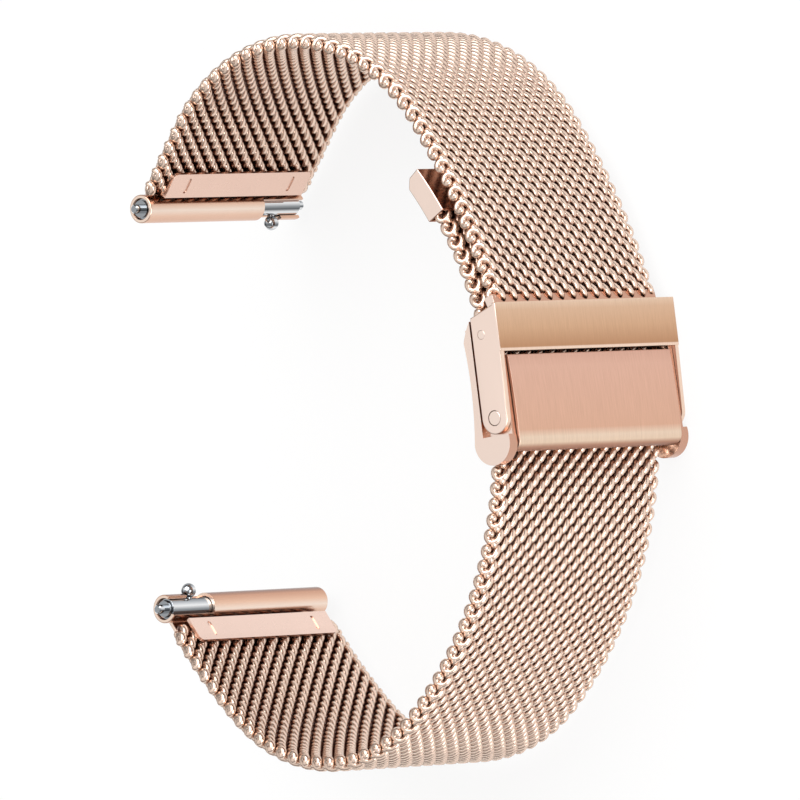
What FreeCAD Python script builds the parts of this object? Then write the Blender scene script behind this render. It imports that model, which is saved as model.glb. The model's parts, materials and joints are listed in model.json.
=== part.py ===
"""Milanese watch band with a double-lock slide clasp and quick-release spring bars, in millimetres.

The band is drawn in plan first: "front" is the distance towards the clasp, "along" runs from the long
strap's side to the short strap's side, and Z is the wrist's axis. A strap's outline is a chain of tangent
arcs, and everything that sits on a strap takes its place from a distance along that chain. At the end the
drawing is turned so that along becomes +X and front becomes -Y, and is set down with the middle of its
bounding box over the origin and its lowest point at Z = 0.
"""
import FreeCAD
import Part
import math
import os

V = FreeCAD.Vector
NEAR = 1e-4                  # two places closer than this are the same

# ---- the mesh strap
STRAP_WIDTH = 22.0           # fits a watch with 22 mm between its lugs
STRAP_THICKNESS = 1.5        # woven wire, flattened
RIB_PITCH = 1.376            # two rows of woven wire make one rib across the strap
RIB_DEPTH = 0.42             # grooves between the ribs
HINGE_PLAY = 0.05            # between one length of strap and the rounded end of the next

# ---- the loop's shape: tangent arcs as (length, radius), a radius of 0 is a straight run
CLASP_ARC_RADIUS = 33.8      # middle of the long strap where it passes the clasp
CLASP_ARC_FRONT = -13.3      # that arc's centre, in plan
CLASP_ARC_ALONG = -3.3
CLASP_ANGLE = 10.3           # where the clasp's middle sits on that arc, in degrees from front
TAIL_LENGTH = 20.2           # long strap beyond the clasp's middle, under the short strap
LONG_UPPER_RUN = 30.8        # long strap below the clasp's middle, still on the clasp's arc
LONG_ARCS = ((22.5, 14.7), (10.8, 50.0))
LONG_HINGE_COUNT = 6         # hinged pieces of long strap below the clasp
LONG_FIRST_HINGE = 12.5      # first hinge below the clasp's middle
SHORT_ARCS = ((17.4, 59.2), (12.3, 17.4), (19.4, 15.9), (6.5, 0.0))
SHORT_HINGE_COUNT = 6        # hinged pieces of short strap after the one at the hook
SHORT_FIRST_HINGE = 7.2      # first hinge along the short strap
STACK_GAP = 0.3              # between the two straps where one lies over the other
SHORT_START = 7.3            # mesh of the short strap begins this far above the clasp's middle
HOOK_SEAM = 0.4              # plain start of the short strap, welded to the hook's bar

# ---- the clasp, in its own coordinates: s along the strap from the clasp's middle, h outwards
CHANNEL_PLAY = 0.1           # between the strap and the base plate
CHANNEL_SIDE_PLAY = 0.15     # between the strap's edge and a side wall
BASE_PLATE = 0.4             # thickness of the base plate
BASE_PLATE_LOW = -5.2        # base plate's ends along s
BASE_PLATE_HIGH = 5.2
WALL = 0.5                   # side wall behind the cover's arm
WALL_FOOT_S = -5.0           # centre of the side wall's round foot
WALL_FOOT_H = 0.4
WALL_FOOT_RADIUS = 1.9
WALL_HEAD_S = 6.3            # upper end of the side wall
WALL_HEAD_H = 1.9
WALL_HEAD_LOW_H = -0.1       # where the side wall's upper end starts to round in to the base plate
WALL_HEAD_BLEND_S = 5.5      # a point on that rounding
WALL_HEAD_BLEND_H = -0.72
WALL_HEAD_BLEND_END = 3.9    # where it meets the base plate's edge
WALL_FOOT_CREST = 0.6        # from the foot's centre to where the outer edge begins
WALL_CROWN = 2.12            # height of the side wall's bowed outer edge half-way along
RECESS_PLAY = 0.12           # around the arm, in the side wall's recess
ARM = 0.5                    # thickness of a cover arm
ARM_PLAY = 0.05              # between an arm and the wall behind it
ARM_END_RADIUS = 1.4         # round end of an arm, about its rivet
ARM_TOP_S = 5.9              # inner corner of an arm's upper end
COVER_PIVOT_S = -2.9
COVER_PIVOT_H = 0.9
COVER_BAR_LOW = 2.7          # the cover's cross bar, along s
COVER_BAR_HIGH = 6.9
COVER_BAR_H = 2.05           # inner face of the cross bar
COVER_BAR = 0.45             # thickness of the cross bar
COVER_EDGE = 0.12            # rounded side edges of the cover
RIVET_RADIUS = 0.65
RIVET_PLAY = 0.03
STUD_RADIUS = 0.4
STUD_S = 4.35
STUD_H = 0.55
HOOK_PIN_S = 4.3
HOOK_PIN_RADIUS = 0.4
HOOK_PLAY = 0.05             # between the hook and its pin
HOOK_SHEET = 0.25            # thickness of the hook's curl
HOOK_LIFT = 0.1              # hook's curl above the long strap
HOOK_SIDE_PLAY = 0.1         # each side of the hook, to the side walls
HOOK_BAR_IN = 0.6            # hook's bar at the mesh, from the strap's middle inwards
HOOK_BAR_OUT = 0.4           # and outwards
HOOK_CURL_END = 300.0        # where the curl ends, in degrees from s towards h
LEVER_PIN_S = -4.9
LEVER_PIN_RADIUS = 0.45
LEVER_PIN_BLIND = 0.35       # depth of the lever pin's ends in the side walls
LEVER_PLAY = 0.04            # lever's bore around its pin
LEVER_LIFT = 0.08            # lever's roll above the long strap
LEVER_ROLL_RADIUS = 1.0
LEVER_PLATE = 0.45           # thickness of the lever's plate
LEVER_TIP_S = 2.4            # free end of the lever
LEVER_TIP_H = 2.3
LEVER_CROWN = 2.5            # height of the lever's bowed face half-way along
LEVER_SIDE_PLAY = 0.1        # each side of the lever, to the side walls

# ---- the metal tip on the long strap's tail
TAIL_TIP_LENGTH = 4.4
TAIL_TIP_SHEET = 0.22
TAIL_TIP_CHAMFER = 0.7

# ---- the end fittings that carry the spring bars
FITTING_WIDTH = 18.5         # plates that grip the mesh
FITTING_SHEET = 0.3
FITTING_GRIP = 2.4           # length of strap that the plates cover
GRIP_CORNER = 0.5            # rounded corners of the inner plate
TUBE_LENGTH = 20.8
TUBE_RADIUS = 1.25
TUBE_BORE = 0.95
TUBE_OFFSET = 1.75           # tube's axis beyond the end of the mesh
TUBE_EDGE = 0.1              # rounded outer rims of the tube
SLOT_MARK_LENGTH = 1.5       # pressed marks that stake the inner plate to the mesh
SLOT_MARK_WIDTH = 0.45
SLOT_MARK_DEPTH = 0.1
SLOT_MARK_INSET = 2.3        # from each end of the plate
KNOB_LEAN = 37.0             # degrees, the knob leans to the inside from the strap's direction
WINDOW_PLAY = 0.15           # around the knob's ball, in the tube's window
WINDOW_FROM = -5.0           # window's sides, in degrees from the strap's direction to the inside
WINDOW_TO = 150.0
MOUTH_FROM = 62.0            # the tube's mouth is cut back from here, up to the window

# ---- the quick-release spring bars
SLEEVE_RADIUS = 0.9
SLEEVE_BORE = 0.75
SLEEVE_INSET = 0.3           # from the tube's end to the sleeve's end
STEM_PLAY = 0.1              # around the knob's stem, in the sleeve's slot
TIP_RADIUS = 0.4             # enters a watch's lug hole
TIP_REACH = 0.9              # beyond the tube's end
TIP_CHAMFER = 0.1
PIN_PLAY = 0.05              # sliding pin in the sleeve
PIN_BODY_END = 5.8
PIN_TRAVEL = 1.35            # how far the knob draws the sliding tip in
PLUG_START = 12.0            # inner end of the fixed tip's plug
SPRING_WIRE = 0.1            # radius
SPRING_MEAN = 0.6            # mean radius of its turns
SPRING_TURNS = 11
SPRING_END_GAP = 0.02
KNOB_RADIUS = 0.65
KNOB_REACH = 1.5             # ball's centre from the bar's axis
KNOB_STEM = 0.32             # radius
KNOB_PLACE = 3.3             # from the tube's end, at rest


# ------------------------------------------------------------------ small helpers

def turned(front, along, degrees, centre=(0.0, 0.0)):
    """A plan point turned about a centre."""
    c, s = math.cos(math.radians(degrees)), math.sin(math.radians(degrees))
    x, y = front - centre[0], along - centre[1]
    return centre[0] + c * x - s * y, centre[1] + s * x + c * y


def rod(radius, place, z_low, z_high):
    """A round bar along Z at a plan point."""
    return Part.makeCylinder(radius, z_high - z_low, V(place[0], place[1], z_low))


def arc(a, b, c):
    """An arc edge through three plan points."""
    return Part.Arc(V(*a, 0), V(*b, 0), V(*c, 0)).toShape()


def line(a, b):
    """A straight edge between two plan points."""
    return Part.makeLine(V(*a, 0), V(*b, 0))


def slab(edges, z_low, z_high):
    """A closed outline of plan edges, raised from z_low to z_high."""
    face = Part.Face(Part.Wire(Part.__sortEdges__(edges)))
    solid = face.extrude(V(0, 0, z_high - z_low))
    solid.translate(V(0, 0, z_low))
    return solid


def polygon(points, z_low, z_high):
    """A plan polygon raised from z_low to z_high."""
    closed = list(points) + [points[0]]
    return slab([line(a, b) for a, b in zip(closed, closed[1:])], z_low, z_high)


def one(shape):
    """The single clean solid in a shape."""
    clean = shape.removeSplitter()
    return clean.Solids[0] if len(clean.Solids) == 1 else clean


def softened(shape, radius, wanted):
    """The shape with the edges that pass a test rounded."""
    return one(shape.makeFillet(radius, [edge for edge in shape.Edges if wanted(edge)]))


def at_height(edge, heights):
    """Whether an edge lies flat at one of some heights."""
    box = edge.BoundBox
    return any(abs(box.ZMin - z) < NEAR and abs(box.ZMax - z) < NEAR for z in heights)


def is_round(edge, radius):
    """Whether an edge is part of a circle of a given radius."""
    return isinstance(edge.Curve, Part.Circle) and abs(edge.Curve.Radius - radius) < NEAR


# ------------------------------------------------------------------ the strap's middle line

class Line:
    """A chain of tangent arcs in plan; turn is +1 anticlockwise or -1 clockwise."""

    def __init__(self, start, heading, arcs, turn):
        self.turn = turn
        self.runs = []
        place, at = start, 0.0
        for length, radius in arcs:
            self.runs.append((at, length, radius, place, heading))
            place, heading = self.step(place, heading, length, radius)
            at += length
        self.length = at

    def step(self, place, heading, distance, radius):
        """Place and heading after a distance along one run."""
        if radius == 0.0:
            h = math.radians(heading)
            return (place[0] + distance * math.cos(h), place[1] + distance * math.sin(h)), heading
        centre = self.offset(place, heading, -radius)
        swept = self.turn * math.degrees(distance / radius)
        return turned(*place, swept, centre), heading + swept

    def offset(self, place, heading, outwards):
        """A point moved square to the heading; the outside is where the arcs bulge."""
        h = math.radians(heading - 90.0 * self.turn)
        return place[0] + outwards * math.cos(h), place[1] + outwards * math.sin(h)

    def run_at(self, distance):
        """The run that holds a distance."""
        for run in self.runs:
            if distance <= run[0] + run[1] + 1e-9:
                return run
        return self.runs[-1]

    def pose(self, distance):
        """Place and heading at a distance along the line."""
        at, _, radius, place, heading = self.run_at(distance)
        return self.step(place, heading, distance - at, radius)

    def point(self, distance, outwards=0.0):
        """A plan point beside the line."""
        place, heading = self.pose(distance)
        return self.offset(place, heading, outwards)

    def side(self, start, end, outwards):
        """Edges that follow the line at a constant distance outwards."""
        edges = []
        for at, length, radius, _, _ in self.runs:
            a, b = max(start, at), min(end, at + length)
            if b - a < 1e-6:
                continue
            first, last = self.point(a + 1e-9, outwards), self.point(b, outwards)
            if radius == 0.0:
                edges.append(line(first, last))
            else:
                edges.append(arc(first, self.point((a + b) / 2, outwards), last))
        return edges

    def ribbed_side(self, start, end, crest, root):
        """Edges of equal arcs side by side, between two distances outwards."""
        count = max(1, round((end - start) / RIB_PITCH))
        step = (end - start) / count
        spots = [start + i * step for i in range(count)]
        return [arc(self.point(a, root), self.point(a + step / 2, crest), self.point(a + step, root))
                for a in spots]

    def ribbed(self, start, end, z_low, z_high):
        """A band with round ribs across both faces."""
        outline = (self.ribbed_side(start, end, HALF_THICK, HALF_ROOT)
                   + self.ribbed_side(start, end, -HALF_THICK, -HALF_ROOT))
        for at in (start, end):
            outline.append(line(self.point(at, -HALF_ROOT), self.point(at, HALF_ROOT)))
        return slab(outline, z_low, z_high)

    def strip(self, start, end, inner, outer, z_low, z_high):
        """A band of constant thickness that follows the line."""
        outline = self.side(start, end, outer) + self.side(start, end, inner)
        outline.append(line(self.point(start + 1e-9, inner), self.point(start + 1e-9, outer)))
        outline.append(line(self.point(end, inner), self.point(end, outer)))
        return slab(outline, z_low, z_high)


HALF_WIDTH = STRAP_WIDTH / 2
HALF_THICK = STRAP_THICKNESS / 2
HALF_ROOT = HALF_THICK - RIB_DEPTH
CLASP_ARC_CENTRE = (CLASP_ARC_FRONT, CLASP_ARC_ALONG)


def on_clasp_arc(s, radius):
    """A plan point at a distance s above the clasp's middle, measured on the strap's arc."""
    degrees = CLASP_ANGLE + math.degrees(s / CLASP_ARC_RADIUS)
    return turned(CLASP_ARC_FRONT + radius, CLASP_ARC_ALONG, degrees, CLASP_ARC_CENTRE)


def clasp_heading(s):
    """Direction of the strap, going up, at a distance above the clasp's middle."""
    return CLASP_ANGLE + math.degrees(s / CLASP_ARC_RADIUS) + 90.0


# the long strap runs from its tail, down through the clasp, to its end fitting
LONG = Line(on_clasp_arc(TAIL_LENGTH, CLASP_ARC_RADIUS), clasp_heading(TAIL_LENGTH) + 180.0,
            ((TAIL_LENGTH + LONG_UPPER_RUN, CLASP_ARC_RADIUS),) + LONG_ARCS, -1)
# the short strap runs from its hook, outside the tail, to its end fitting
SHORT = Line(on_clasp_arc(SHORT_START, CLASP_ARC_RADIUS + STRAP_THICKNESS + STACK_GAP),
             clasp_heading(SHORT_START), SHORT_ARCS, 1)


def hinge_places(strap, first, count):
    """Distances of the hinges along a strap: count equal lengths from the first to the end."""
    step = (strap.length - first) / count
    return [first + i * step for i in range(count)]


LONG_HINGES = hinge_places(LONG, TAIL_LENGTH + LONG_FIRST_HINGE, LONG_HINGE_COUNT)
SHORT_HINGES = hinge_places(SHORT, SHORT_FIRST_HINGE, SHORT_HINGE_COUNT)


# ------------------------------------------------------------------ the strap's lengths

PLAIN_START = {LONG: TAIL_TIP_LENGTH - TAIL_TIP_CHAMFER, SHORT: HOOK_SEAM}


def strap_length(strap, start, end, barrel, socket):
    """One length of mesh, ribbed across: a rounded barrel at its start, a hollow socket at its end.

    Without a barrel or a socket, that end stays plain where the tail's cap or the end fitting grips it.
    """
    first = start + (RIB_PITCH / 2 if barrel else PLAIN_START[strap])
    last = end - (RIB_PITCH / 2 if socket else FITTING_GRIP)
    body = strap.ribbed(first, last, -HALF_WIDTH, HALF_WIDTH)
    for a, b, half in ((start, first, HALF_ROOT if barrel else HALF_THICK),
                       (last, end, HALF_ROOT if socket else HALF_THICK)):
        body = body.fuse(strap.strip(a, b, -half, half, -HALF_WIDTH, HALF_WIDTH))
    if barrel:
        body = body.fuse(rod(HALF_THICK, strap.point(start), -HALF_WIDTH, HALF_WIDTH))
    if socket:
        hollow = rod(HALF_THICK + HINGE_PLAY, strap.point(end), -HALF_WIDTH - 1, HALF_WIDTH + 1)
        body = body.cut(hollow)
    return one(body)


def strap_lengths(name, strap, hinges, first_start):
    """All lengths of one strap, from the clasp outwards, as node names and solids."""
    stops = [first_start] + hinges + [strap.length]
    nodes = {}
    for i, (start, end) in enumerate(zip(stops, stops[1:])):
        nodes["%s_%d" % (name, i)] = strap_length(strap, start, end, i > 0, i < len(hinges))
    return nodes


def tail_tip():
    """A folded metal cap over the end of the long strap's tail."""
    reach = HALF_THICK + TAIL_TIP_SHEET
    wide = HALF_WIDTH + TAIL_TIP_SHEET
    cap = LONG.strip(0, TAIL_TIP_LENGTH, -reach, reach, -wide, wide)
    a, b = LONG.point(0, -reach), LONG.point(TAIL_TIP_CHAMFER, -reach)
    c = LONG.point(0, -reach + TAIL_TIP_CHAMFER)
    out = LONG.point(-1.0, -reach - 1.0)
    cap = cap.cut(polygon([a, b, out], -wide - 1, wide + 1).fuse(polygon([b, c, a], -wide - 1, wide + 1)))
    pocket = LONG.strip(TAIL_TIP_CHAMFER, TAIL_TIP_LENGTH, -HALF_THICK, HALF_THICK, -HALF_WIDTH, HALF_WIDTH)
    return one(cap.cut(pocket))


# ------------------------------------------------------------------ the clasp

WALL_INNER = HALF_WIDTH + CHANNEL_SIDE_PLAY
WALL_OUTER = WALL_INNER + WALL
ARM_INNER = WALL_OUTER + ARM_PLAY
ARM_OUTER = ARM_INNER + ARM
CLASP_ORIGIN = on_clasp_arc(0.0, CLASP_ARC_RADIUS)
STRAP_TOP_RADIUS = CLASP_ARC_RADIUS + HALF_THICK
HOOK_OUTER = HOOK_PIN_RADIUS + HOOK_PLAY + HOOK_SHEET
COVER_BAR_TOP = COVER_BAR_H + COVER_BAR


def clasp_point(s, h):
    """The clasp's flat coordinates in plan: s along its tangent, h outwards."""
    front, along = CLASP_ORIGIN[0] + h, CLASP_ORIGIN[1] + s
    return turned(front, along, CLASP_ANGLE, CLASP_ORIGIN)


def height_over_strap(s, lift):
    """Height h of a point above the long strap's outer face, at a distance s."""
    radius = STRAP_TOP_RADIUS + lift
    return math.sqrt(radius ** 2 - s ** 2) - CLASP_ARC_RADIUS


HOOK_PIN_H = height_over_strap(HOOK_PIN_S, HOOK_LIFT + HOOK_OUTER)
LEVER_PIN_H = height_over_strap(LEVER_PIN_S, LEVER_LIFT + LEVER_ROLL_RADIUS)
BASE_INNER_RADIUS = CLASP_ARC_RADIUS - HALF_THICK - CHANNEL_PLAY - BASE_PLATE
BASE_OUTER_RADIUS = CLASP_ARC_RADIUS - HALF_THICK - CHANNEL_PLAY


def base_edge(s):
    """Height h of the base plate's inner face at a distance s."""
    return math.sqrt(BASE_INNER_RADIUS ** 2 - s ** 2) - CLASP_ARC_RADIUS


def clasp_arc(a, b, c):
    """An arc edge through three points given in the clasp's coordinates."""
    return arc(clasp_point(*a), clasp_point(*b), clasp_point(*c))


def clasp_line(a, b):
    """A straight edge between two points given in the clasp's coordinates."""
    return line(clasp_point(*a), clasp_point(*b))


def wall_outline():
    """Side wall: a round foot, a bowed outer edge, and an inner edge that follows the base plate."""
    foot_in = (WALL_FOOT_S, base_edge(WALL_FOOT_S))
    crest_h = WALL_FOOT_H + math.sqrt(WALL_FOOT_RADIUS ** 2 - WALL_FOOT_CREST ** 2)
    foot_out = (WALL_FOOT_S + WALL_FOOT_CREST, crest_h)
    foot_end = (WALL_FOOT_S - WALL_FOOT_RADIUS, WALL_FOOT_H)
    head = (WALL_HEAD_S, WALL_HEAD_H)
    head_low = (WALL_HEAD_S, WALL_HEAD_LOW_H)
    blend = (WALL_HEAD_BLEND_S, WALL_HEAD_BLEND_H)
    plate_end = (WALL_HEAD_BLEND_END, base_edge(WALL_HEAD_BLEND_END))
    return [clasp_arc(foot_in, foot_end, foot_out),
            clasp_arc(foot_out, (0.0, WALL_CROWN), head),
            clasp_line(head, head_low),
            clasp_arc(head_low, blend, plate_end),
            clasp_arc(plate_end, (0.0, base_edge(0.0)), foot_in)]


def arm_outline():
    """Cover arm: round about its rivet, straight inner edge, slanted upper end."""
    r = ARM_END_RADIUS
    s, h = COVER_PIVOT_S, COVER_PIVOT_H
    low, high = (s, h - r), (s, h + r)
    tip, end = (COVER_BAR_HIGH, COVER_BAR_TOP), (ARM_TOP_S, h - r)
    return [clasp_arc(low, (s - r, h), high), clasp_line(high, tip), clasp_line(tip, end), clasp_line(end, low)]


def recess(z_low, z_high):
    """Room for an arm in the outer face of a side wall, open towards its outer edge and head."""
    low_s = COVER_PIVOT_S - ARM_END_RADIUS - RECESS_PLAY
    low_h = COVER_PIVOT_H - ARM_END_RADIUS - RECESS_PLAY
    far_s, far_h = WALL_HEAD_S + 1, WALL_CROWN + 1
    corners = [(low_s, low_h), (far_s, low_h), (far_s, far_h), (low_s, far_h)]
    return polygon([clasp_point(*c) for c in corners], z_low, z_high)


def clasp_base():
    """Base plate and two side walls, folded from one sheet."""
    low, high = BASE_PLATE_LOW, BASE_PLATE_HIGH
    outline = []
    for radius in (BASE_INNER_RADIUS, BASE_OUTER_RADIUS):
        outline.append(arc(on_clasp_arc(low, radius), on_clasp_arc(0, radius), on_clasp_arc(high, radius)))
    for s in (low, high):
        outline.append(line(on_clasp_arc(s, BASE_INNER_RADIUS), on_clasp_arc(s, BASE_OUTER_RADIUS)))
    base = slab(outline, -WALL_OUTER, WALL_OUTER)
    for side in (1, -1):
        z = sorted((side * WALL_INNER, side * ARM_OUTER))
        wall = slab(wall_outline(), *z)
        cut = sorted((side * WALL_OUTER, side * (ARM_OUTER + 1)))
        base = base.fuse(wall.cut(recess(*cut)))
    base = base.cut(rod(HOOK_PIN_RADIUS, clasp_point(HOOK_PIN_S, HOOK_PIN_H), -WALL_OUTER, WALL_OUTER))
    blind = WALL_INNER + LEVER_PIN_BLIND
    base = base.cut(rod(LEVER_PIN_RADIUS, clasp_point(LEVER_PIN_S, LEVER_PIN_H), -blind, blind))
    pivot = clasp_point(COVER_PIVOT_S, COVER_PIVOT_H)
    return one(base.cut(rod(RIVET_RADIUS, pivot, -WALL_OUTER, WALL_OUTER)))


def hook_pin():
    """The cross bar that the short strap's hook holds."""
    return rod(HOOK_PIN_RADIUS, clasp_point(HOOK_PIN_S, HOOK_PIN_H), -WALL_OUTER, WALL_OUTER)


def lever_pin():
    """The lock lever's pin, blind in both side walls."""
    reach = WALL_INNER + LEVER_PIN_BLIND
    return rod(LEVER_PIN_RADIUS, clasp_point(LEVER_PIN_S, LEVER_PIN_H), -reach, reach)


def both_sides(radius, place, inner, outer):
    """Two like rods, one at each side of the clasp."""
    return Part.Compound([rod(radius, place, inner, outer), rod(radius, place, -outer, -inner)])


def cover_rivets():
    """The two rivets that the cover turns on."""
    return both_sides(RIVET_RADIUS, clasp_point(COVER_PIVOT_S, COVER_PIVOT_H), WALL_INNER, ARM_OUTER)


def cover_studs():
    """The two small studs that hold the closed cover, pressed into its arms."""
    return both_sides(STUD_RADIUS, clasp_point(STUD_S, STUD_H), ARM_INNER, ARM_OUTER)


def safety_cover():
    """Cross bar and two arms, bent from one sheet."""
    bar = polygon([clasp_point(s, h) for s, h in ((COVER_BAR_LOW, COVER_BAR_H), (COVER_BAR_HIGH, COVER_BAR_H),
                                                 (COVER_BAR_HIGH, COVER_BAR_TOP),
                                                 (COVER_BAR_LOW, COVER_BAR_TOP))], -ARM_OUTER, ARM_OUTER)
    arms = [slab(arm_outline(), *z) for z in ((ARM_INNER, ARM_OUTER), (-ARM_OUTER, -ARM_INNER))]
    top = polygon([clasp_point(s, h) for s, h in ((COVER_PIVOT_S, COVER_BAR_TOP),
                                                 (COVER_BAR_LOW, COVER_BAR_TOP),
                                                 (COVER_BAR_LOW, COVER_BAR_TOP + 1),
                                                 (COVER_PIVOT_S, COVER_BAR_TOP + 1))], -ARM_OUTER, ARM_OUTER)
    cover = bar.fuse(arms).cut(top)
    hole = RIVET_RADIUS + RIVET_PLAY
    cover = cover.cut(both_sides(hole, clasp_point(COVER_PIVOT_S, COVER_PIVOT_H), ARM_INNER - 1, ARM_OUTER + 1))
    cover = softened(one(cover), COVER_EDGE,
                     lambda e: at_height(e, (ARM_OUTER, -ARM_OUTER)) and not is_round(e, hole))
    return one(cover.cut(both_sides(STUD_RADIUS, clasp_point(STUD_S, STUD_H), ARM_INNER, ARM_OUTER)))


def lock_lever():
    """A bowed plate whose foot rolls round the lever pin and presses on the strap when it is shut."""
    s, h, r = LEVER_PIN_S, LEVER_PIN_H, LEVER_ROLL_RADIUS
    top = (s, h + r)
    tip_out = (LEVER_TIP_S, LEVER_TIP_H)
    tip_in = (LEVER_TIP_S, LEVER_TIP_H - LEVER_PLATE)
    middle = (s + LEVER_TIP_S) / 2
    wide = WALL_INNER - LEVER_SIDE_PLAY
    plate = slab([clasp_arc(top, (middle, LEVER_CROWN), tip_out),
                  clasp_line(tip_out, tip_in),
                  clasp_arc(tip_in, (middle, LEVER_CROWN - LEVER_PLATE), (s, h + r - LEVER_PLATE)),
                  clasp_line((s, h + r - LEVER_PLATE), top)], -wide, wide)
    roll = rod(r, clasp_point(s, h), -wide, wide)
    bore = rod(LEVER_PIN_RADIUS + LEVER_PLAY, clasp_point(s, h), -wide - 1, wide + 1)
    return one(plate.fuse(roll).cut(bore))


def hook_end():
    """The short strap's metal end: a bar that meets the mesh, curled round the hook pin."""
    wide = WALL_INNER - HOOK_SIDE_PLAY
    s, h = HOOK_PIN_S, HOOK_PIN_H
    inner, outer = HOOK_OUTER - HOOK_SHEET, HOOK_OUTER

    def rim(radius, degrees):
        """A point on the curl."""
        a = math.radians(degrees)
        return s + radius * math.cos(a), h + radius * math.sin(a)

    middle = (90.0 + HOOK_CURL_END) / 2
    curl = slab([clasp_arc(rim(outer, 90), rim(outer, middle), rim(outer, HOOK_CURL_END)),
                 clasp_line(rim(outer, HOOK_CURL_END), rim(inner, HOOK_CURL_END)),
                 clasp_arc(rim(inner, HOOK_CURL_END), rim(inner, middle), rim(inner, 90)),
                 clasp_line(rim(inner, 90), rim(outer, 90))], -wide, wide)
    mesh_in, mesh_out = SHORT.point(0, -HOOK_BAR_IN), SHORT.point(0, HOOK_BAR_OUT)
    bar_start = s + outer + HOOK_LIFT
    bar = polygon([clasp_point(*rim(inner, 90)), clasp_point(*rim(outer, 90)), mesh_out, mesh_in,
                   clasp_point(bar_start, h - HOOK_LIFT), clasp_point(bar_start, h + inner)], -wide, wide)
    return one(curl.fuse(bar))


# ------------------------------------------------------------------ the end fittings and spring bars

WINDOW_START = KNOB_PLACE - KNOB_RADIUS - WINDOW_PLAY
WINDOW_END = KNOB_PLACE + PIN_TRAVEL + KNOB_RADIUS + WINDOW_PLAY


class EndFrame:
    """Coordinates at a strap's end: a runs on past the mesh, c points outwards, w from the knob's end.

    knob_side is +1 where the knob is at the top of the bar and -1 where it is at the bottom.
    """

    def __init__(self, strap, knob_side):
        self.strap, self.knob_side = strap, knob_side
        self.place, self.heading = strap.pose(strap.length)
        self.axis = self.point(TUBE_OFFSET, 0.0)

    def point(self, a, c):
        """A plan point from the end's own coordinates."""
        ahead = turned(self.place[0] + a, self.place[1], self.heading, self.place)
        return self.strap.offset(ahead, self.heading, c)

    def around(self, radius, degrees):
        """A plan point around the bar's axis, degrees from the strap's direction to the inside."""
        way = self.heading + self.strap.turn * degrees
        return turned(self.axis[0] + radius, self.axis[1], way, self.axis)

    def z(self, w_low, w_high):
        """Heights of two distances from the tube's knob end, lowest first."""
        ends = [self.knob_side * (TUBE_LENGTH / 2 - w) for w in (w_low, w_high)]
        return min(ends), max(ends)

    def rod(self, radius, w_low, w_high):
        """A round bar on the spring bar's axis."""
        return rod(radius, self.axis, *self.z(w_low, w_high))

    def wedge(self, start, end, w_low, w_high):
        """A wedge of the tube's wall between two angles."""
        far = TUBE_RADIUS + 1.0
        steps = 4
        fan = [self.around(far / math.cos(math.radians((end - start) / steps / 2)),
                           start + (end - start) * i / steps) for i in range(steps + 1)]
        return polygon([self.axis] + fan, *self.z(w_low, w_high))

    def box(self, degrees, half, reach, w_low, w_high):
        """A flat-sided slot from the axis outwards in one direction."""
        corners = [(0.0, half), (reach, half), (reach, -half), (0.0, -half)]
        way = self.heading + self.strap.turn * degrees
        plan = [turned(self.axis[0] + x, self.axis[1] + y, way, self.axis) for x, y in corners]
        return polygon(plan, *self.z(w_low, w_high))


def end_fitting(end):
    """Outer plate, neck and spring-bar tube, curled from one sheet, with a window for the knob."""
    half = FITTING_WIDTH / 2
    outer_c = HALF_THICK + FITTING_SHEET
    strap = end.strap
    plate = strap.strip(strap.length - FITTING_GRIP, strap.length, HALF_THICK, outer_c, -half, half)
    neck_end = TUBE_OFFSET - math.sqrt(TUBE_BORE ** 2 - HALF_THICK ** 2)
    neck = polygon([end.point(0, HALF_THICK), end.point(0, outer_c),
                    end.point(neck_end, outer_c), end.point(neck_end, HALF_THICK)], -half, half)
    tube = softened(end.rod(TUBE_RADIUS, 0, TUBE_LENGTH), TUBE_EDGE,
                    lambda e: at_height(e, (TUBE_LENGTH / 2, -TUBE_LENGTH / 2)))
    body = plate.fuse([neck, tube]).cut(end.rod(TUBE_BORE, -1, TUBE_LENGTH + 1))
    body = body.cut(end.wedge(WINDOW_FROM, WINDOW_TO, WINDOW_START, WINDOW_END))
    return one(body.cut(end.wedge(MOUTH_FROM, WINDOW_TO, -1, WINDOW_START)))


def obround(strap, at, z_middle, length, width, inner, outer):
    """A slot with round ends, running along the strap, between two distances outwards."""
    run = (length - width) / 2
    body = strap.strip(at - run, at + run, inner, outer, z_middle - width / 2, z_middle + width / 2)
    for place in (at - run, at + run):
        low, high = strap.point(place, inner), strap.point(place, outer)
        way = V(high[0] - low[0], high[1] - low[1], 0)
        body = body.fuse(Part.makeCylinder(width / 2, way.Length, V(low[0], low[1], z_middle), way))
    return body


def grip_plate(end):
    """Inner plate that clamps the mesh to the end fitting, with two pressed stake marks."""
    strap, half = end.strap, FITTING_WIDTH / 2
    start, stop = strap.length - FITTING_GRIP, strap.length
    plate = strap.strip(start, stop, -HALF_THICK - FITTING_SHEET, -HALF_THICK, -half, half)
    for side in (1, -1):
        corner_z = side * (half - GRIP_CORNER)
        keep = obround(strap, start + GRIP_CORNER, corner_z, 2 * GRIP_CORNER, 2 * GRIP_CORNER - NEAR,
                       -HALF_THICK - 2 * FITTING_SHEET, 0)
        block = sorted((corner_z, side * (half + 1)))
        sharp = strap.strip(start, start + GRIP_CORNER, -HALF_THICK - FITTING_SHEET, -HALF_THICK, *block)
        plate = plate.cut(sharp.cut(keep))
    marks = [obround(strap, (start + stop) / 2, side * (half - SLOT_MARK_INSET), SLOT_MARK_LENGTH,
                     SLOT_MARK_WIDTH, -HALF_THICK - 2 * FITTING_SHEET,
                     -HALF_THICK - FITTING_SHEET + SLOT_MARK_DEPTH) for side in (1, -1)]
    return one(plate.cut(marks))


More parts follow.
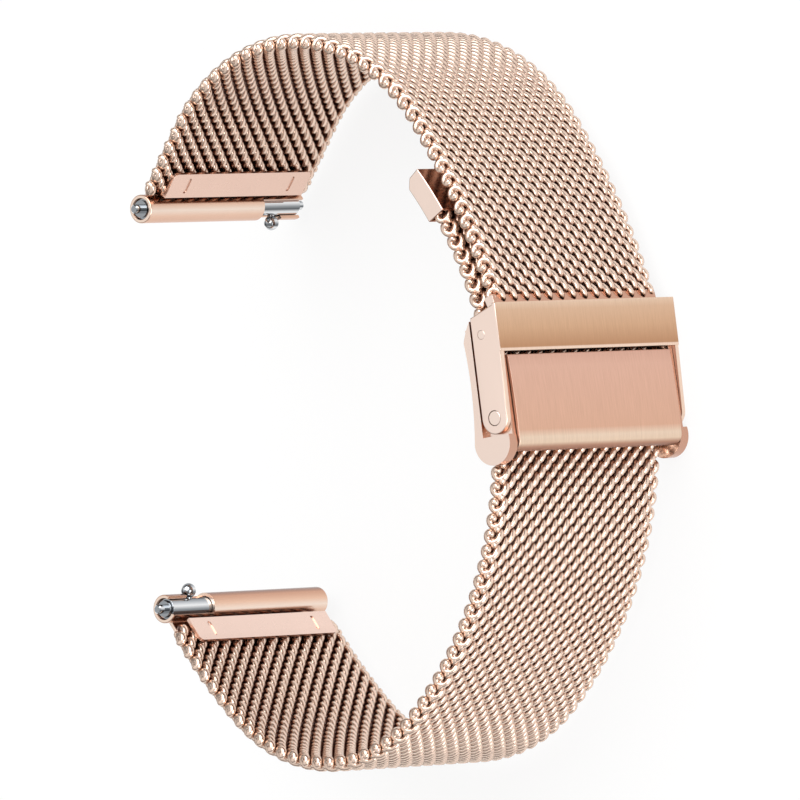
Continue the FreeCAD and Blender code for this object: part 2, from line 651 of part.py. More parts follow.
def bar_sleeve(end):
    """Steel tube of the spring bar; the ends of its slot stop the knob's stem and so keep the pin in."""
    body = end.rod(SLEEVE_RADIUS, SLEEVE_INSET, TUBE_LENGTH - SLEEVE_INSET)
    half = KNOB_STEM + STEM_PLAY
    slot = end.box(KNOB_LEAN, half, SLEEVE_RADIUS + 1, KNOB_PLACE - half, KNOB_PLACE + PIN_TRAVEL + half)
    return one(body.cut([end.rod(SLEEVE_BORE, 0, TUBE_LENGTH), slot]))


def tip(end, w_out, w_in):
    """A spring bar's tip with a chamfered end, from its outer end to where it meets its body."""
    z_out = end.knob_side * (TUBE_LENGTH / 2 - w_out)
    z_in = end.knob_side * (TUBE_LENGTH / 2 - w_in)
    way = 1 if z_out > z_in else -1
    shank = rod(TIP_RADIUS, end.axis, *sorted((z_in, z_out - way * TIP_CHAMFER)))
    nose = Part.makeCone(TIP_RADIUS, TIP_RADIUS - TIP_CHAMFER, TIP_CHAMFER,
                         V(end.axis[0], end.axis[1], z_out - way * TIP_CHAMFER), V(0, 0, way))
    return shank.fuse(nose)


def fixed_tip(end):
    """The bar's fixed tip and the plug that holds it in the sleeve."""
    plug = end.rod(SLEEVE_BORE, PLUG_START, TUBE_LENGTH)
    return one(plug.fuse(tip(end, TUBE_LENGTH + TIP_REACH, TUBE_LENGTH)))


def sliding_pin(end):
    """The bar's sliding tip, with a cross hole for the knob's stem."""
    pin = end.rod(SLEEVE_BORE - PIN_PLAY, 0, PIN_BODY_END).fuse(tip(end, -TIP_REACH, 0))
    return one(pin.cut(knob_stem(end, 0.0)))


def knob_stem(end, start):
    """The knob's stem, from near the bar's axis to the ball."""
    z = end.knob_side * (TUBE_LENGTH / 2 - KNOB_PLACE)
    low, high = end.around(start, KNOB_LEAN), end.around(KNOB_REACH, KNOB_LEAN)
    way = V(high[0] - low[0], high[1] - low[1], 0)
    return Part.makeCylinder(KNOB_STEM, way.Length, V(low[0], low[1], z), way)


def release_knob(end):
    """A ball on a stem, screwed into the sliding pin."""
    z = end.knob_side * (TUBE_LENGTH / 2 - KNOB_PLACE)
    ball = Part.makeSphere(KNOB_RADIUS, V(*end.around(KNOB_REACH, KNOB_LEAN), z))
    return one(knob_stem(end, 0.0).fuse(ball))


def bar_spring(end):
    """Coil spring between the sliding pin and the fixed tip's plug."""
    start, stop = PIN_BODY_END + SPRING_WIRE + SPRING_END_GAP, PLUG_START - SPRING_WIRE - SPRING_END_GAP
    z_low, z_high = end.z(start, stop)
    height = z_high - z_low
    helix = Part.makeHelix(height / SPRING_TURNS, height, SPRING_MEAN)
    ring = Part.makeCircle(SPRING_WIRE, V(SPRING_MEAN, 0, 0), V(0, 1, 0))
    coil = Part.Wire(helix).makePipeShell([Part.Wire(ring)], True, True)
    coil.translate(V(end.axis[0], end.axis[1], z_low))
    return coil


def spring_bar_nodes(name, end):
    """Every piece at one strap's end."""
    return {name + "_end_fitting": end_fitting(end),
            name + "_grip_plate": grip_plate(end),
            name + "_bar_sleeve": bar_sleeve(end),
            name + "_bar_fixed_tip": fixed_tip(end),
            name + "_bar_spring": bar_spring(end),
            name + "_bar_sliding_pin": sliding_pin(end),
            name + "_release_knob": release_knob(end)}


# ------------------------------------------------------------------ putting it together

SHORT_END = EndFrame(SHORT, -1)
LONG_END = EndFrame(LONG, 1)


def build():
    """Every node by name, in plan."""
    nodes = strap_lengths("long_mesh", LONG, LONG_HINGES, TAIL_TIP_CHAMFER)
    nodes.update(strap_lengths("short_mesh", SHORT, SHORT_HINGES, 0.0))
    nodes.update({"tail_tip": tail_tip(), "clasp_base": clasp_base(), "hook_pin": hook_pin(),
                  "lever_pin": lever_pin(), "cover_rivets": cover_rivets(), "cover_studs": cover_studs(),
                  "safety_cover": safety_cover(), "lock_lever": lock_lever(), "hook_end": hook_end()})
    nodes.update(spring_bar_nodes("short", SHORT_END))
    nodes.update(spring_bar_nodes("long", LONG_END))
    return nodes


def turned_over(nodes):
    """Turn the plan so that along is +X and front is -Y; returns the move that sets it down centred."""
    turn = FreeCAD.Placement(V(0, 0, 0), FreeCAD.Rotation(V(0, 0, 1), -90))
    whole = FreeCAD.BoundBox()
    for shape in nodes.values():
        shape.Placement = turn.multiply(shape.Placement)
        whole.add(shape.optimalBoundingBox(False, False))
    return V(-whole.Center.x, -whole.Center.y, -whole.ZMin)


NODES = build()
MOVE = turned_over(NODES)
os.makedirs("parts", exist_ok=True)
for node_name, node_shape in NODES.items():
    node_shape.translate(MOVE)
    node_shape.exportStep("parts/%s.step" % node_name)
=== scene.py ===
"""A Milanese watch band in rose gold: woven wire, a double-lock slide clasp and two quick-release bars.

Everything is in metres. A strap's middle line is a chain of tangent arcs in the X-Y plane; "along" is the
distance on that line from its start, which is the tail's end on the long strap and the hook's side on the
short one, "out" is the distance from it towards the outside of the loop, and Z runs across the strap.
"""
import json
import math

import bpy
import bmesh
import numpy as np
from mathutils import Matrix, Vector


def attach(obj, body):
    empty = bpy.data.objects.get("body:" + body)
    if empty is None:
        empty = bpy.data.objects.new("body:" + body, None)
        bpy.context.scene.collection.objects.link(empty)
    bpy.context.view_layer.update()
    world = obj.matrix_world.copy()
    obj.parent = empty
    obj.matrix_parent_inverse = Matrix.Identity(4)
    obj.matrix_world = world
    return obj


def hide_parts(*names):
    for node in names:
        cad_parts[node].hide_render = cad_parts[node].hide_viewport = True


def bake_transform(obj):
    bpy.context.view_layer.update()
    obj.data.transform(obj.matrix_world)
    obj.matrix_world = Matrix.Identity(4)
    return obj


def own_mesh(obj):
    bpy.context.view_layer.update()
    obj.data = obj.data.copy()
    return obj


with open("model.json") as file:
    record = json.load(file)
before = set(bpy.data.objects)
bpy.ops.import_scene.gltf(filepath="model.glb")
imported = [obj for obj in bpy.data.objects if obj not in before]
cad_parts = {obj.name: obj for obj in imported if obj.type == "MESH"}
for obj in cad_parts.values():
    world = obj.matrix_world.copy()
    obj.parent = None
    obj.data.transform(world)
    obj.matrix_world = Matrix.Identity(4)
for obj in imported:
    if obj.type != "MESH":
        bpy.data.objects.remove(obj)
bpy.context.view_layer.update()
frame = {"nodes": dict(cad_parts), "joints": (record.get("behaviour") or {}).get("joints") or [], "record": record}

MM = 0.001

# ---- the straps' middle lines, as (length, radius) with a radius of 0 for a straight run
CLASP_RADIUS = 33.8 * MM     # long strap where it passes under the clasp
CLASP_ANGLE = 10.3           # where the clasp's middle sits on that arc, in degrees
TAIL_LENGTH = 20.2 * MM      # long strap beyond the clasp's middle
LONG_RUNS = ((51.0, 33.8), (22.5, 14.7), (10.8, 50.0))
SHORT_RUNS = ((17.4, 59.2), (12.3, 17.4), (19.4, 15.9), (6.5, 0.0))
SHORT_START = 7.3 * MM       # short strap's first row, above the clasp's middle
STRAP_WIDTH = 22.0 * MM
STRAP_THICKNESS = 1.5 * MM
STACK_GAP = 0.3 * MM         # between the straps where one lies over the other
HOOK_WIRE_START = -0.8 * MM  # short strap's wire begins over the hook's bar, at the cover's edge
END_REACH = 0.45 * MM        # the wire runs on past the strap's line, up to the tube
TAIL_CAP_START = 0.7 * MM    # long strap's wire begins inside the tail's cap

# ---- the woven wire
WIRE_RADIUS = 0.31 * MM
ROW_SPACING = 0.688 * MM     # between neighbouring coils, along the strap
TURN_PITCH = 1.59 * MM       # advance of a coil in one turn, across the strap
COIL_REACH_ALONG = 0.56 * MM  # half size of a coil's line, along the strap
COIL_REACH_OUT = 0.5 * MM    # and through the strap's thickness
STEPS_PER_TURN = 16
WIRE_SIDES = 8
EDGE_FADE = 1.3 * MM         # the painted shade of the gaps fades out over this width at the strap's edges
CURL_SIZE = 0.25             # share of a coil's size at the centre of its end curl
CURL_POWER = 2.2             # how late in its last turn a coil starts to shrink
CURL_STAGGER = 0.3           # share of a turn by which every second coil ends earlier
RECESS_MARGIN = 0.2          # share of the fade that stays free of painted shade at the strap's very edge
ROLLING_MARGIN = 0.005 * MM  # the rolled faces stay this far inside the strap's thickness
WIRE_END_SIZES = (0.45, 0.85)  # share of a wire's radius at its last ring and at the one before it
LINE_STEPS = 4001            # places tried along a strap when its hinges are looked up
BEND_SHARE = 0.9             # share of the way between two hinges; the places it gives are worked out but not used

# ---- finished copies of the sheet-metal and turned parts
MERGE_DISTANCE = 0.0005 * MM
FLAT_ANGLE = math.radians(0.3)
SHARP_ANGLE = math.radians(32)
SIDE_FACE_RANGE = (0.55, 0.85)  # size of a normal's Z at which a face starts and ends being a side face

# ---- the studio
FLOOR_REACH = 1.5
FLOOR_DROP = 0.02 * MM
FLOOR_GLOW = 0.85            # share of plain white that the camera sees on the floor


# ------------------------------------------------------------------ the straps' middle lines

class StrapLine:
    """A chain of tangent arcs; the outside is where it bulges.

    Turn is +1 for an anticlockwise chain and -1 for a clockwise one.
    """

    def __init__(self, start, heading, runs, turn):
        self.turn, self.runs = turn, []
        at, place = 0.0, np.array(start, float)
        for length, radius in runs:
            length, radius = length * MM, radius * MM
            self.runs.append((at, radius, place, heading))
            place, heading = self._step(place, heading, radius, length)
            at += length
        self.length = at

    def _step(self, place, heading, radius, distance):
        """Place and heading after a distance on one run: on an arc both turn about the arc's centre."""
        if radius == 0.0:
            way = np.stack([np.cos(heading), np.sin(heading)], -1)
            return place + way * np.expand_dims(distance, -1), heading + 0.0 * distance
        side = heading - self.turn * math.pi / 2
        out = np.array([math.cos(side), math.sin(side)])
        centre = place - out * radius
        swept = self.turn * distance / radius
        angle = side + swept
        return centre + radius * np.stack([np.cos(angle), np.sin(angle)], -1), heading + swept

    def place(self, along, out, z):
        """Points in the row frame: the line's point at a distance, moved square to it by out, at height z."""
        along, out, z = np.broadcast_arrays(np.asarray(along, float), out, z)
        points = np.empty(along.shape + (3,))
        starts = np.array([run[0] for run in self.runs])
        which = np.clip(np.searchsorted(starts, along, side="right") - 1, 0, len(starts) - 1)
        for i, (at, radius, place, heading) in enumerate(self.runs):
            here = which == i
            if not here.any():
                continue
            spot, way = self._step(place, heading, radius, along[here] - at)
            side = way - self.turn * math.pi / 2
            points[here, 0] = spot[..., 0] + out[here] * np.cos(side)
            points[here, 1] = spot[..., 1] + out[here] * np.sin(side)
        points[..., 2] = z
        return points


def joint(name):
    """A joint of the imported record."""
    return next(j for j in frame["joints"] if j["name"] == name)


CLASP_CENTRE = np.array(joint("clasp_slide")["pos_m"][:2])
MIDDLE_Z = joint("clasp_slide")["pos_m"][2]


def clasp_arc_point(s, radius):
    """A point at a distance s above the clasp's middle, on an arc about the clasp's own centre."""
    angle = math.radians(CLASP_ANGLE - 90) + s / CLASP_RADIUS
    return CLASP_CENTRE + radius * np.array([math.cos(angle), math.sin(angle)])


def clasp_arc_heading(s):
    """Heading up the strap at a distance s above the clasp's middle, in radians."""
    return math.radians(CLASP_ANGLE) + s / CLASP_RADIUS


LONG = StrapLine(clasp_arc_point(TAIL_LENGTH, CLASP_RADIUS), clasp_arc_heading(TAIL_LENGTH) + math.pi,
                 LONG_RUNS, -1)
SHORT = StrapLine(clasp_arc_point(SHORT_START, CLASP_RADIUS + STRAP_THICKNESS + STACK_GAP),
                  clasp_arc_heading(SHORT_START), SHORT_RUNS, 1)


# ------------------------------------------------------------------ mesh helpers

def surface(name, points, quads, triangles=None):
    """A smooth mesh object from arrays of points, of four-cornered faces and of three-cornered faces."""
    corners = [quads.reshape(-1)]
    sizes = [np.full(len(quads), 4)]
    if triangles is not None and len(triangles):
        corners.append(triangles.reshape(-1))
        sizes.append(np.full(len(triangles), 3))
    corners, sizes = np.concatenate(corners), np.concatenate(sizes)
    mesh = bpy.data.meshes.new(name)
    mesh.vertices.add(len(points))
    mesh.vertices.foreach_set("co", points.astype(np.float32).ravel())
    mesh.loops.add(len(corners))
    mesh.loops.foreach_set("vertex_index", corners.astype(np.int32))
    mesh.polygons.add(len(sizes))
    mesh.polygons.foreach_set("loop_start", (np.cumsum(sizes) - sizes).astype(np.int32))
    mesh.polygons.foreach_set("use_smooth", np.ones(len(sizes), bool))
    mesh.update(calc_edges=True)
    mesh.validate()
    piece = bpy.data.objects.new(name, mesh)
    bpy.context.scene.collection.objects.link(piece)
    return piece


def wires(paths, radius, sides):
    """Round wires along many paths of equal length: points, four-cornered faces and end faces.

    A ring of points stands square to each path's tangent, in the directions tangent x Z and its cross
    product with the tangent. The first and last rings shrink as the root of the distance to the end.
    """
    count, steps = paths.shape[:2]
    tangent = np.gradient(paths, axis=1)
    tangent /= np.linalg.norm(tangent, axis=2, keepdims=True)
    side = np.cross(tangent, np.array([0.0, 0.0, 1.0]))
    side /= np.linalg.norm(side, axis=2, keepdims=True)
    up = np.cross(side, tangent)
    round_way = np.linspace(0, 2 * np.pi, sides, endpoint=False)
    swell = np.ones(steps)
    swell[[0, -1]], swell[[1, -2]] = WIRE_END_SIZES
    ring = (side[:, :, None] * np.cos(round_way)[:, None] + up[:, :, None] * np.sin(round_way)[:, None])
    points = paths[:, :, None] + ring * (radius * swell)[None, :, None, None]
    index = np.arange(count * steps * sides).reshape(count, steps, sides)
    after = np.roll(index, -1, axis=2)
    quads = np.stack([index[:, :-1], index[:, 1:], after[:, 1:], after[:, :-1]], -1).reshape(-1, 4)
    tips = count * steps * sides + np.arange(2 * count).reshape(2, count)
    ends = np.concatenate([paths[:, 0], paths[:, -1]])
    first = np.stack([index[:, 0], after[:, 0], np.broadcast_to(tips[0][:, None], index[:, 0].shape)], -1)
    last = np.stack([after[:, -1], index[:, -1], np.broadcast_to(tips[1][:, None], index[:, 0].shape)], -1)
    triangles = np.concatenate([first, last]).reshape(-1, 3)
    return np.concatenate([points.reshape(-1, 3), ends]), quads, triangles


# ------------------------------------------------------------------ the woven mesh

def coil_paths(rows, parity):
    """Middle lines of coils in the strap's own coordinates (along, out, across), one coil for each row.

    Along = row - reach * cos(turn), out = reach * sin(turn), across = pitch * turn / 2 pi, so the strands
    of the outer face lean one way and those of the inner face the other. Every second coil is half a turn
    further on. In its last turn at each edge a coil stops advancing, as distance squared over two
    pitches, and its size shrinks by a power of that distance, which makes the rounded curl of the edge.
    """
    edge = STRAP_WIDTH / 2 - WIRE_RADIUS - parity * CURL_STAGGER * TURN_PITCH
    turns = 2 * edge / TURN_PITCH + 1
    steps = int(round(turns * STEPS_PER_TURN))
    free = np.linspace(-edge - TURN_PITCH / 2, edge + TURN_PITCH / 2, steps)
    past = np.clip(np.abs(free) - (edge - TURN_PITCH / 2), 0, None)
    across = np.sign(free) * (np.abs(free) - past ** 2 / (2 * TURN_PITCH))
    shrink = 1 - (1 - CURL_SIZE) * np.clip(past / TURN_PITCH, 0, 1) ** CURL_POWER
    turn = 2 * np.pi * free / TURN_PITCH + np.pi * parity
    along = rows[:, None] - COIL_REACH_ALONG * shrink * np.cos(turn)
    out = np.broadcast_to(COIL_REACH_OUT * shrink * np.sin(turn), along.shape)
    return np.stack([along, out, np.broadcast_to(across, along.shape)], -1)


def rolled_flat(out):
    """Distance out after the woven strap is rolled: what stands past the strap's face is pressed level."""
    limit = STRAP_THICKNESS / 2 - ROLLING_MARGIN
    return np.clip(out, -limit, limit)


def mesh_piece(name, line, rows, first_row):
    """One piece of woven strap: coils at the given distances along a strap's line."""
    points, quads, triangles, deep = [], [], [], []
    count = 0
    parities = (np.round((rows - first_row) / ROW_SPACING).astype(int)) % 2
    for parity in (0, 1):
        chosen = rows[parities == parity]
        if not len(chosen):
            continue
        paths = coil_paths(chosen, parity)
        local, q, t = wires(paths, WIRE_RADIUS, WIRE_SIDES)
        out = rolled_flat(local[:, 1])
        points.append(line.place(local[:, 0], out, MIDDLE_Z + local[:, 2]))
        # painted shade of the gaps: darker the deeper a point lies in the strap's thickness, fading out near the
        # edges
        inside = np.clip((STRAP_WIDTH / 2 - np.abs(local[:, 2])) / EDGE_FADE - RECESS_MARGIN, 0, 1)
        deep.append((1 - np.abs(out) / (STRAP_THICKNESS / 2)) * inside)
        quads.append(q + count)
        triangles.append(t + count)
        count += len(local)
    piece = surface(name, np.concatenate(points), np.concatenate(quads), np.concatenate(triangles))
    depth = piece.data.attributes.new("recess", "FLOAT", "POINT")
    depth.data.foreach_set("value", np.concatenate(deep).astype(np.float32))
    return piece


def woven_strap(strap, line, start, stop, first_body):
    """The strap's pieces: one that rides on its first body, then one about each of its hinges, left where it lies.
    """
    places = [joint("%s_bend_%d" % (strap, i))["pos_m"] for i in range(1, 7)]
    grid = np.linspace(0, line.length, LINE_STEPS)
    spots = line.place(grid, 0.0, MIDDLE_Z)
    hinges = [grid[np.argmin(np.linalg.norm(spots - np.array(p), axis=1))] for p in places]
    half = (line.length - hinges[-1]) / 2
    edges = [start] + [h - half for h in hinges] + [stop]
    first_row = start + COIL_REACH_ALONG + WIRE_RADIUS
    rows = np.arange(first_row, stop - COIL_REACH_ALONG - WIRE_RADIUS, ROW_SPACING)
    pieces = []
    for i in range(7):
        here = rows[(rows >= edges[i]) & (rows < edges[i + 1])]
        piece = mesh_piece("%s_weave_%d" % (strap, i), line, here, first_row)
        if i == 0:
            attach(piece, first_body)
        else:
            reach = BEND_SHARE * half
            low, high = line.place([hinges[i - 1] - reach, hinges[i - 1] + reach], 0.0, MIDDLE_Z)
            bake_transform(piece)
        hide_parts("%s_mesh_%d" % (strap, i))
        pieces.append(piece)
    return pieces


# ------------------------------------------------------------------ materials

def node_group(name, inputs, outputs):
    """An empty shader node group with float inputs (name, value) and outputs (name, kind)."""
    group = bpy.data.node_groups.new(name, "ShaderNodeTree")
    for label, value in inputs:
        group.interface.new_socket(label, in_out="INPUT", socket_type="NodeSocketFloat").default_value = value
    for label, kind in outputs:
        group.interface.new_socket(label, in_out="OUTPUT", socket_type=kind)
    return group, group.nodes.new("NodeGroupInput"), group.nodes.new("NodeGroupOutput")


def add(tree, kind, **settings):
    """A new node; settings that name an input socket with _ for a space set its value."""
    node = tree.nodes.new(kind)
    for key, value in settings.items():
        if hasattr(node, key):
            setattr(node, key, value)
        else:
            node.inputs[key.replace("_", " ")].default_value = value
    return node


def grain_group():
    """Brushed lines: noise drawn out along the strap and fine across it, as a height and a mask."""
    group, given, made = node_group("brushed_grain", (("Across", 14000.0), ("Along", 420.0), ("Turn", 0.0)),
                                    (("Height", "NodeSocketFloat"), ("Mask", "NodeSocketFloat")))
    place = add(group, "ShaderNodeTexCoord")
    turned = add(group, "ShaderNodeVectorRotate", rotation_type="Z_AXIS")
    group.links.new(place.outputs["Object"], turned.inputs["Vector"])
    group.links.new(given.outputs["Turn"], turned.inputs["Angle"])
    scale = add(group, "ShaderNodeCombineXYZ")
    group.links.new(given.outputs["Along"], scale.inputs["X"])
    group.links.new(given.outputs["Along"], scale.inputs["Y"])
    group.links.new(given.outputs["Across"], scale.inputs["Z"])
    stretched = add(group, "ShaderNodeVectorMath", operation="MULTIPLY")
    group.links.new(turned.outputs[0], stretched.inputs[0])
    group.links.new(scale.outputs[0], stretched.inputs[1])
    lines = add(group, "ShaderNodeTexNoise", Scale=1.0, Detail=3.0, Roughness=0.6)
    group.links.new(stretched.outputs[0], lines.inputs["Vector"])
    group.links.new(lines.outputs[0], made.inputs["Height"])
    mask = add(group, "ShaderNodeMapRange")
    mask.inputs["From Min"].default_value = 0.35
    mask.inputs["From Max"].default_value = 0.65
    group.links.new(lines.outputs[0], mask.inputs["Value"])
    group.links.new(mask.outputs[0], made.inputs["Mask"])
    return group


def handling_group():
    """Fine wear: faint smudges some millimetres across and much finer pitting, as two masks."""
    group, given, made = node_group("handling", (("Smudge Scale", 260.0), ("Pit Scale", 5200.0)),
                                    (("Smudge", "NodeSocketFloat"), ("Pits", "NodeSocketFloat")))
    place = add(group, "ShaderNodeTexCoord")
    for label, socket, detail in (("Smudge Scale", "Smudge", 4.0), ("Pit Scale", "Pits", 2.0)):
        noise = add(group, "ShaderNodeTexNoise", Detail=detail)
        group.links.new(place.outputs["Object"], noise.inputs["Vector"])
        group.links.new(given.outputs[label], noise.inputs["Scale"])
        group.links.new(noise.outputs[0], made.inputs[socket])
    return group


GRAIN = grain_group()
HANDLING = handling_group()


def blank_material(name):
    """A material with a metal Principled shader, and its shader node."""
    material = bpy.data.materials.new(name)
    material.use_nodes = True
    shader = material.node_tree.nodes["Principled BSDF"]
    shader.inputs["Metallic"].default_value = 1.0
    return material, material.node_tree, shader


def mixed(tree, mask, dark, light):
    """A colour between two by a mask."""
    mix = add(tree, "ShaderNodeMix", data_type="RGBA")
    mix.inputs["A"].default_value = (*dark, 1)
    mix.inputs["B"].default_value = (*light, 1)
    tree.links.new(mask, mix.inputs["Factor"])
    return mix.outputs["Result"]


def ranged(tree, value, low, high, from_low=0.0, from_high=1.0):
    """A value carried from one range to another."""
    node = add(tree, "ShaderNodeMapRange")
    for label, number in (("From Min", from_low), ("From Max", from_high), ("To Min", low), ("To Max", high)):
        node.inputs[label].default_value = number
    tree.links.new(value, node.inputs["Value"])
    return node.outputs[0]


def group_node(tree, group, **values):
    """A placed node group with its own values."""
    node = tree.nodes.new("ShaderNodeGroup")
    node.node_tree = group
    for key, value in values.items():
        node.inputs[key.replace("_", " ")].default_value = value
    return node


def bump(tree, shader, height, distance, strength):
    """Relief on a shader's normal, of a real depth in metres."""
    node = add(tree, "ShaderNodeBump", Strength=strength, Distance=distance)
    tree.links.new(height, node.inputs["Height"])
    tree.links.new(node.outputs["Normal"], shader.inputs["Normal"])


def ramp(tree, value, stops):
    """Colours at values from 0 to 1, blended in between."""
    node = add(tree, "ShaderNodeValToRGB")
    points = node.color_ramp.elements
    while len(points) < len(stops):
        points.new(0.5)
    for point, (at, colour) in zip(points, stops):
        point.position, point.color = at, (*colour, 1)
    tree.links.new(value, node.inputs["Fac"])
    return node.outputs["Color"]


def up_the_clasp(tree, low, high):
    """Distance up the strap from the clasp's middle, carried to 0 at low and 1 at high, in millimetres."""
    heading = math.radians(CLASP_ANGLE)
    way = np.array([math.cos(heading), math.sin(heading)])
    middle = float(way @ clasp_arc_point(0.0, CLASP_RADIUS))
    place = add(tree, "ShaderNodeTexCoord")
    dot = add(tree, "ShaderNodeVectorMath", operation="DOT_PRODUCT")
    dot.inputs[1].default_value = (*way, 0.0)
    tree.links.new(place.outputs["Object"], dot.inputs[0])
    return ranged(tree, dot.outputs["Value"], 0.0, 1.0, middle + low * MM, middle + high * MM)


def side_faces(tree):
    """1 on faces that look across the strap, 0 on all others."""
    place = add(tree, "ShaderNodeTexCoord")
    parts = add(tree, "ShaderNodeSeparateXYZ")
    tree.links.new(place.outputs["Normal"], parts.inputs[0])
    size = add(tree, "ShaderNodeMath", operation="ABSOLUTE")
    tree.links.new(parts.outputs["Z"], size.inputs[0])
    return ranged(tree, size.outputs[0], 0.0, 1.0, *SIDE_FACE_RANGE)


def blended(tree, mask, first, second, how="MIX"):
    """Two colour sockets blended by a mask."""
    mix = add(tree, "ShaderNodeMix", data_type="RGBA", blend_type=how)
    for socket, source in (("Factor", mask), ("A", first), ("B", second)):
        if isinstance(source, (float, tuple)):
            mix.inputs[socket].default_value = source
        else:
            tree.links.new(source, mix.inputs[socket])
    return mix.outputs["Result"]


def wire_material():
    """Rose-gold wire: its own bright colour where it was rolled, and painted shade in the gaps between the coils.
    """
    material, tree, shader = blank_material("mesh_wire")
    wear = group_node(tree, HANDLING, Smudge_Scale=420.0, Pit_Scale=9000.0)
    recess = add(tree, "ShaderNodeAttribute", attribute_name="recess")
    # painted shade: dark brown in the gaps between the coils, the wire's own rose gold elsewhere
    painted_gap_shade = ranged(tree, recess.outputs["Fac"], 0.0, 1.0, 0.12, 0.6)
    base = mixed(tree, painted_gap_shade, (0.93, 0.71, 0.58), (0.26, 0.10, 0.06))
    tint = mixed(tree, wear.outputs["Smudge"], (0.90, 0.90, 0.90), (1.0, 1.0, 1.0))
    both = add(tree, "ShaderNodeMix", data_type="RGBA", blend_type="MULTIPLY")
    both.inputs["Factor"].default_value = 1.0
    tree.links.new(base, both.inputs["A"])
    tree.links.new(tint, both.inputs["B"])
    tree.links.new(both.outputs["Result"], shader.inputs["Base Color"])
    tree.links.new(ranged(tree, wear.outputs["Smudge"], 0.2, 0.32), shader.inputs["Roughness"])
    bump(tree, shader, wear.outputs["Pits"], 0.004 * MM, 0.5)
    return material


def brushed_material(name, span, painted_tones, side, roughness, depth):
    """Sheet brushed along the strap, with light and shade painted up the clasp, and plain polished side faces in
    one painted tone.
    """
    material, tree, shader = blank_material(name)
    grain = group_node(tree, GRAIN, Turn=-math.radians(CLASP_ANGLE))
    wear = group_node(tree, HANDLING)
    # painted light and shade up the clasp
    painted_tone = ramp(tree, up_the_clasp(tree, *span), painted_tones)
    streaks = mixed(tree, grain.outputs["Mask"], (0.9, 0.89, 0.88), (1.0, 1.0, 1.0))
    face = blended(tree, 1.0, painted_tone, streaks, "MULTIPLY")
    # faces that look across the strap take one painted tone instead of the painted light up the clasp
    tree.links.new(blended(tree, side_faces(tree), face, (*side, 1)), shader.inputs["Base Color"])
    tree.links.new(ranged(tree, wear.outputs["Smudge"], *roughness), shader.inputs["Roughness"])
    bump(tree, shader, grain.outputs["Height"], depth, 1.0)
    return material


def rimmed_material(name, rim, side, roughness):
    """Polished plating, with a pale painted sheen on the side faces and painted shade on the rims between them."""
    material, tree, shader = blank_material(name)
    wear = group_node(tree, HANDLING)
    tint = mixed(tree, wear.outputs["Smudge"], (0.94, 0.94, 0.94), (1.0, 1.0, 1.0))
    # painted shade on the rims, pale painted sheen on the faces that look across the strap
    face = blended(tree, side_faces(tree), (*rim, 1), (*side, 1))
    tree.links.new(blended(tree, 1.0, face, tint, "MULTIPLY"), shader.inputs["Base Color"])
    tree.links.new(ranged(tree, wear.outputs["Pits"], *roughness), shader.inputs["Roughness"])
    bump(tree, shader, wear.outputs["Pits"], 0.002 * MM, 0.3)
    return material


def rolled_material(name, painted_tones, roughness):
    """Plating on rolled sheet, with light and shade painted by the way that a face looks along X."""
    material, tree, shader = blank_material(name)
    wear = group_node(tree, HANDLING)
    place = add(tree, "ShaderNodeTexCoord")
    parts = add(tree, "ShaderNodeSeparateXYZ")
    tree.links.new(place.outputs["Normal"], parts.inputs[0])
    # painted light and shade by the way a face looks along X
    painted_tone = ramp(tree, ranged(tree, parts.outputs["X"], 0.0, 1.0, -1.0, 1.0), painted_tones)
    tint = mixed(tree, wear.outputs["Smudge"], (0.92, 0.92, 0.92), (1.0, 1.0, 1.0))
    tree.links.new(blended(tree, 1.0, painted_tone, tint, "MULTIPLY"), shader.inputs["Base Color"])
    tree.links.new(ranged(tree, wear.outputs["Pits"], *roughness), shader.inputs["Roughness"])
    bump(tree, shader, wear.outputs["Pits"], 0.002 * MM, 0.3)
    return material


# Painted light and shade as (share, linear colour): up the clasp for the cover and the lever, and from faces
# that look down X to faces that look up X for the tubes, the plates and the steel.
# pale painted sheen on faces that look across the strap
SIDE_SHEEN_PINK = (0.96, 0.77, 0.67)
# cover: a painted highlight line at the window edge, then painted shade that lightens up to the top
COVER_PAINTED_LIGHT = ((0.0, (0.92, 0.70, 0.56)), (0.02, (0.54, 0.29, 0.16)), (0.4, (0.68, 0.42, 0.26)),
               (0.75, (0.74, 0.49, 0.33)), (1.0, (0.88, 0.68, 0.53)))
# lever: painted shade on its rolled lower edge, a painted highlight band just above it, painted shadow at its top
# under the cover's bar
LEVER_PAINTED_LIGHT = ((0.0, (0.24, 0.09, 0.05)), (0.03, (0.50, 0.26, 0.17)), (0.065, (0.84, 0.64, 0.48)),
               (0.125, (0.86, 0.67, 0.52)), (0.2, (0.75, 0.45, 0.32)), (0.814, (0.77, 0.47, 0.36)),
               (0.925, (0.72, 0.43, 0.33)), (1.0, (0.34, 0.16, 0.12)))
# tubes: a painted highlight band on faces square to X and painted shade darkening to faces that look up X
TUBE_PAINTED_LIGHT = ((0.0, (0.72, 0.43, 0.31)), (0.25, (0.86, 0.58, 0.44)), (0.45, (0.96, 0.79, 0.67)),
              (0.65, (0.88, 0.58, 0.43)), (0.88, (0.66, 0.36, 0.24)), (1.0, (0.20, 0.07, 0.04)))
# plates: painted shade at faces that look down and up X, a lighter painted sheen between
PLATE_PAINTED_LIGHT = ((0.0, (0.16, 0.06, 0.035)), (0.12, (0.30, 0.14, 0.09)), (0.22, (0.88, 0.62, 0.51)),
               (0.5, (0.88, 0.62, 0.51)), (0.62, (0.95, 0.71, 0.61)), (0.82, (0.95, 0.71, 0.61)),
               (0.93, (0.34, 0.16, 0.10)), (1.0, (0.18, 0.07, 0.04)))
# steel: alternating bands of painted reflection, bright and dark, by the way a face looks along X
STEEL_PAINTED_REFLECTIONS = ((0.0, (0.50, 0.52, 0.54)), (0.22, (0.88, 0.89, 0.90)), (0.36, (0.10, 0.11, 0.12)),
               (0.5, (0.34, 0.36, 0.38)), (0.66, (0.90, 0.91, 0.92)), (0.8, (0.55, 0.57, 0.60)),
               (1.0, (0.07, 0.08, 0.09)))

